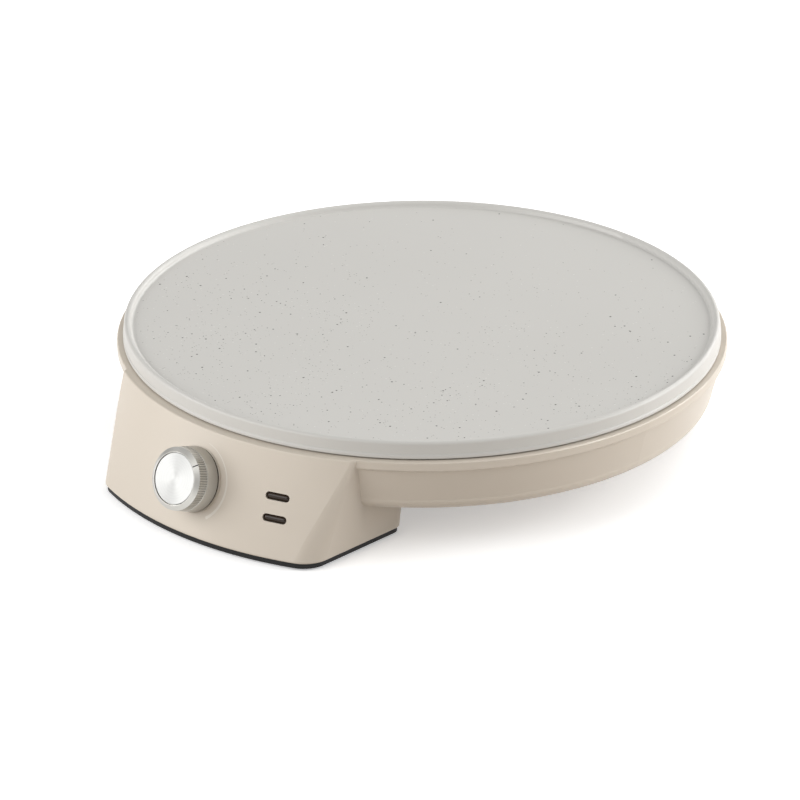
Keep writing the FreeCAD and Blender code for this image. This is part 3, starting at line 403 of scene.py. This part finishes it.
clusters = coating.noise(24.0, 2.0).ramp(0.35, 0.65)
crowding = (frontward * 0.92 + 0.08) * (clusters * 0.9 + 0.45)
dark = specks(300.0, 0.19, 0.07, crowding) * flat
fine = specks(560.0, 0.22, 0.11, crowding) * flat
light = specks(430.0, 0.20, 0.08, crowding) * flat
tone = coating.blend(coating.noise(12.0), colour(206, 204, 199), colour(210, 208, 203))
tone = coating.blend(light * 0.6, tone, colour(236, 235, 230))
tone = coating.blend(fine * 0.75, tone, colour(120, 116, 108))
tone = coating.blend(dark * 0.95, tone, colour(58, 54, 50))
sprayed, cast = coating.noise(900.0, 3.0), coating.noise(1600.0)
coating.surface({
    "Base Color": coating.blend(under, tone, colour(176, 176, 174)),
    "Metallic": under * 0.9,
    "Roughness": 0.34 + coating.noise(500.0) * 0.1 + under * 0.15,
    "Normal": coating.relief(sprayed + under * cast, 0.04 * mm, 0.3)})
dress("griddle_plate", coating)


def turned(name, rings, capped, segments=192):
    """A body of revolution about its own Z axis, from rings of radius and height."""
    angles = [math.tau * k / segments for k in range(segments)]
    points = [(radius * math.cos(angle), radius * math.sin(angle), high)
              for radius, high in rings for angle in angles]
    faces = []
    for start in range(0, (len(rings) - 1) * segments, segments):
        for k in range(segments):
            a, b = start + k, start + (k + 1) % segments
            faces.append((a, b, b + segments, a + segments))
    if capped:
        faces += [tuple(range(segments - 1, -1, -1)),
                  tuple(range(len(points) - segments, len(points)))]
    mesh = bpy.data.meshes.new(name)
    mesh.from_pydata(points, [], faces)
    body = bpy.data.objects.new(name, mesh)
    bpy.context.scene.collection.objects.link(body)
    return body


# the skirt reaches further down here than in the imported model, to a narrow gap over the housing
skirt_out, skirt_in = 155.02 * mm, 153.6 * mm
skirt_low, skirt_high, skirt_round = 57.1 * mm, 59.6 * mm, 0.3 * mm
rings = [(skirt_in, skirt_high), (skirt_in, skirt_low)]
for degrees in range(0, 91, 15):
    angle = math.radians(degrees)
    rings.append((skirt_out - skirt_round * (1 - math.sin(angle)),
                  skirt_low + skirt_round * (1 - math.cos(angle))))
rings += [(skirt_out, skirt_high), (skirt_in, skirt_high)]
plate_skirt = turned("plate_skirt", rings, capped=False, segments=384)
plate_skirt.data.transform(Matrix.Translation(plate_axis))
plate_skirt.data.polygons.foreach_set("use_smooth", [True] * len(plate_skirt.data.polygons))
plate_skirt.data.materials.append(coating.material)
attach(plate_skirt, "base")


# Control knob.
# A turned aluminium shell with a band of fine teeth, on a moulded hub, with a spun disc let into its
# face. A black washer parts it from the housing, and a fine line on its bevel points to the setting.
bevel_high, bevel_out = 14.0 * mm, 16.18 * mm       # heights are from the seat on the pod's front
teeth_long, teeth_deep, side_draft = 5.7 * mm, 0.2 * mm, 0.055
disc_out, disc_high, disc_thick = 13.2 * mm, 15.25 * mm, 1.15 * mm
pointer_turn, pointer_half = math.radians(48), 0.26 * mm
pointer = Vector((math.sin(pointer_turn), math.cos(pointer_turn)))
knob_axes = Matrix((Vector((1, 0, 0)), up_slope, knob_axis)).transposed()
knob_frame = Matrix.Translation(knob_seat) @ knob_axes.to_4x4()

satin_aluminium = Finish("satin_aluminium", {"Metallic": 1.0})
knob_place = satin_aluminium.place.vector_maths("SUBTRACT", tuple(knob_seat))
across, up = knob_place.along((1, 0, 0)), knob_place.along(up_slope)
rise = knob_place.along(knob_axis)
out = (across * across + up * up).root()
beside = across * pointer.y - up * pointer.x
line = (beside > -pointer_half) * (beside < pointer_half) * (across > 2 * mm)
line = line * (out > disc_out + 0.5 * mm) * (rise > bevel_high - 0.3 * mm)
bevel = (rise > bevel_high - 0.02 * mm) * (out > disc_out + 0.3 * mm)
side_out = bevel_out + (bevel_high - rise) * side_draft
between_teeth = (rise > bevel_high - teeth_long) * (rise < bevel_high) * (out < side_out - teeth_deep)
grain = satin_aluminium.noise(2400.0, 3.0)
metal_tone = satin_aluminium.blend(grain, colour(206, 204, 199), colour(192, 190, 184))
# painted shade: the knob's side is painted darker grey towards its foot by the housing, where shade
# falls
metal_tone = satin_aluminium.blend(rise.ramp(9 * mm, 0.0) * 0.4, metal_tone, colour(150, 148, 145))
# painted shade: the recesses between the teeth are painted darker grey, as if shade lay in them
metal_tone = satin_aluminium.blend(between_teeth * 0.4, metal_tone, colour(96, 95, 92))
satin_aluminium.surface({
    "Base Color": satin_aluminium.blend(line, metal_tone, colour(40, 40, 40)),
    "Roughness": 0.4 + grain * 0.08 - bevel * 0.08,
    "Normal": satin_aluminium.relief(grain, 0.01 * mm, 0.4)})
dress("control_knob", satin_aluminium)

disc_round, disc_chamfer = 0.25 * mm, 0.1 * mm
rings = [(disc_out - disc_chamfer, disc_high - disc_thick),
         (disc_out, disc_high - disc_thick + disc_chamfer)]
for degrees in range(0, 91, 15):
    angle = math.radians(degrees)
    rings.append((disc_out - disc_round * (1 - math.cos(angle)),
                  disc_high - disc_round * (1 - math.sin(angle))))
rings += [(disc_out * share, disc_high) for share in (0.9, 0.7, 0.5, 0.3, 0.15, 0.05, 0.01)]
spun_disc = turned("spun_disc", rings, capped=True)
spun_disc.matrix_world = knob_frame
spun_aluminium = Finish("spun_aluminium", {"Metallic": 1.0, "Anisotropic": 0.75})
groove_angle = spun_aluminium.place.vector_maths("LENGTH", output="Value") * 9000.0
grooves = groove_angle.maths("SINE", groove_angle) * 0.5 + spun_aluminium.noise(2500.0) * 0.5
spun_aluminium.surface({
    "Base Color": spun_aluminium.blend(grooves, colour(202, 202, 200), colour(199, 199, 197)),
    "Roughness": 0.52 + grooves * 0.01})
spun_disc.data.materials.append(spun_aluminium.material)
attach(spun_disc, "knob")
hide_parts("knob_disc")

dress("knob_hub", matt_black)
dress("knob_ring", matt_black)


# Table and lights.
# A plain pale table that looks white to the camera and in reflections. Four large softboxes stand at
# the left, the left front, the right and the right rear, and a pale surround fills the rest.
floor_mesh = bpy.data.meshes.new("table")
reach = 40.0
corners = [(-reach, -reach, 0), (reach, -reach, 0), (reach, reach, 0), (-reach, reach, 0)]
floor_mesh.from_pydata(corners, [], [(0, 1, 2, 3)])
table = bpy.data.objects.new("table", floor_mesh)
bpy.context.scene.collection.objects.link(table)
pale = Finish("pale_table", {"Roughness": 0.9, "Emission Strength": 1.0})
by_camera, by_gloss, by_glass = [
    pale.node("ShaderNodeLightPath", output=ray)
    for ray in ("Is Camera Ray", "Is Glossy Ray", "Is Transmission Ray")]
seen = by_camera.maths("MAXIMUM", by_camera, by_gloss.maths("MAXIMUM", by_gloss, by_glass))
pale.surface({
    "Base Color": pale.blend(seen, (0.5, 0.45, 0.4, 1), (1, 1, 1, 1)),
    "Emission Color": pale.blend(seen, (0, 0, 0, 1), (0.35, 0.35, 0.35, 1))})
table.data.materials.append(pale.material)

# directions from the object: level to the camera, away from it, and to the camera's left and right
to_camera, rearward = Vector((0.687, -0.727, 0)), Vector((-0.687, 0.727, 0))
leftward, rightward = Vector((-0.727, -0.687, 0)), Vector((0.727, 0.687, 0))
upward = Vector((0, 0, 1))
softbox_away, softbox_wide = 2.6, 1.6
for name, toward, power in (
        ("left_softbox", leftward + upward * 0.35, 25.0),
        ("left_front_softbox", leftward * 0.8 + to_camera * 0.6 + upward * 0.6, 24.0),
        ("right_softbox", rightward + upward * 0.35, 48.0),
        ("right_rear_softbox", rightward * 0.7 + rearward * 0.7 + upward * 0.5, 29.0)):
    lamp = bpy.data.lights.new(name, "AREA")
    lamp.size, lamp.energy = softbox_wide, power
    softbox = bpy.data.objects.new(name, lamp)
    way = toward.normalized()
    softbox.location = plate_axis + way * softbox_away
    softbox.rotation_mode = "QUATERNION"
    softbox.rotation_quaternion = (-way).to_track_quat("-Z", "Y")
    softbox.visible_camera = False
    bpy.context.scene.collection.objects.link(softbox)

surround = bpy.data.worlds.new("pale_surround")
bpy.context.scene.world = surround
surround.use_nodes = True
background = surround.node_tree.nodes["Background"]
background.inputs["Color"].default_value = (1, 1, 1, 1)
background.inputs["Strength"].default_value = 0.38
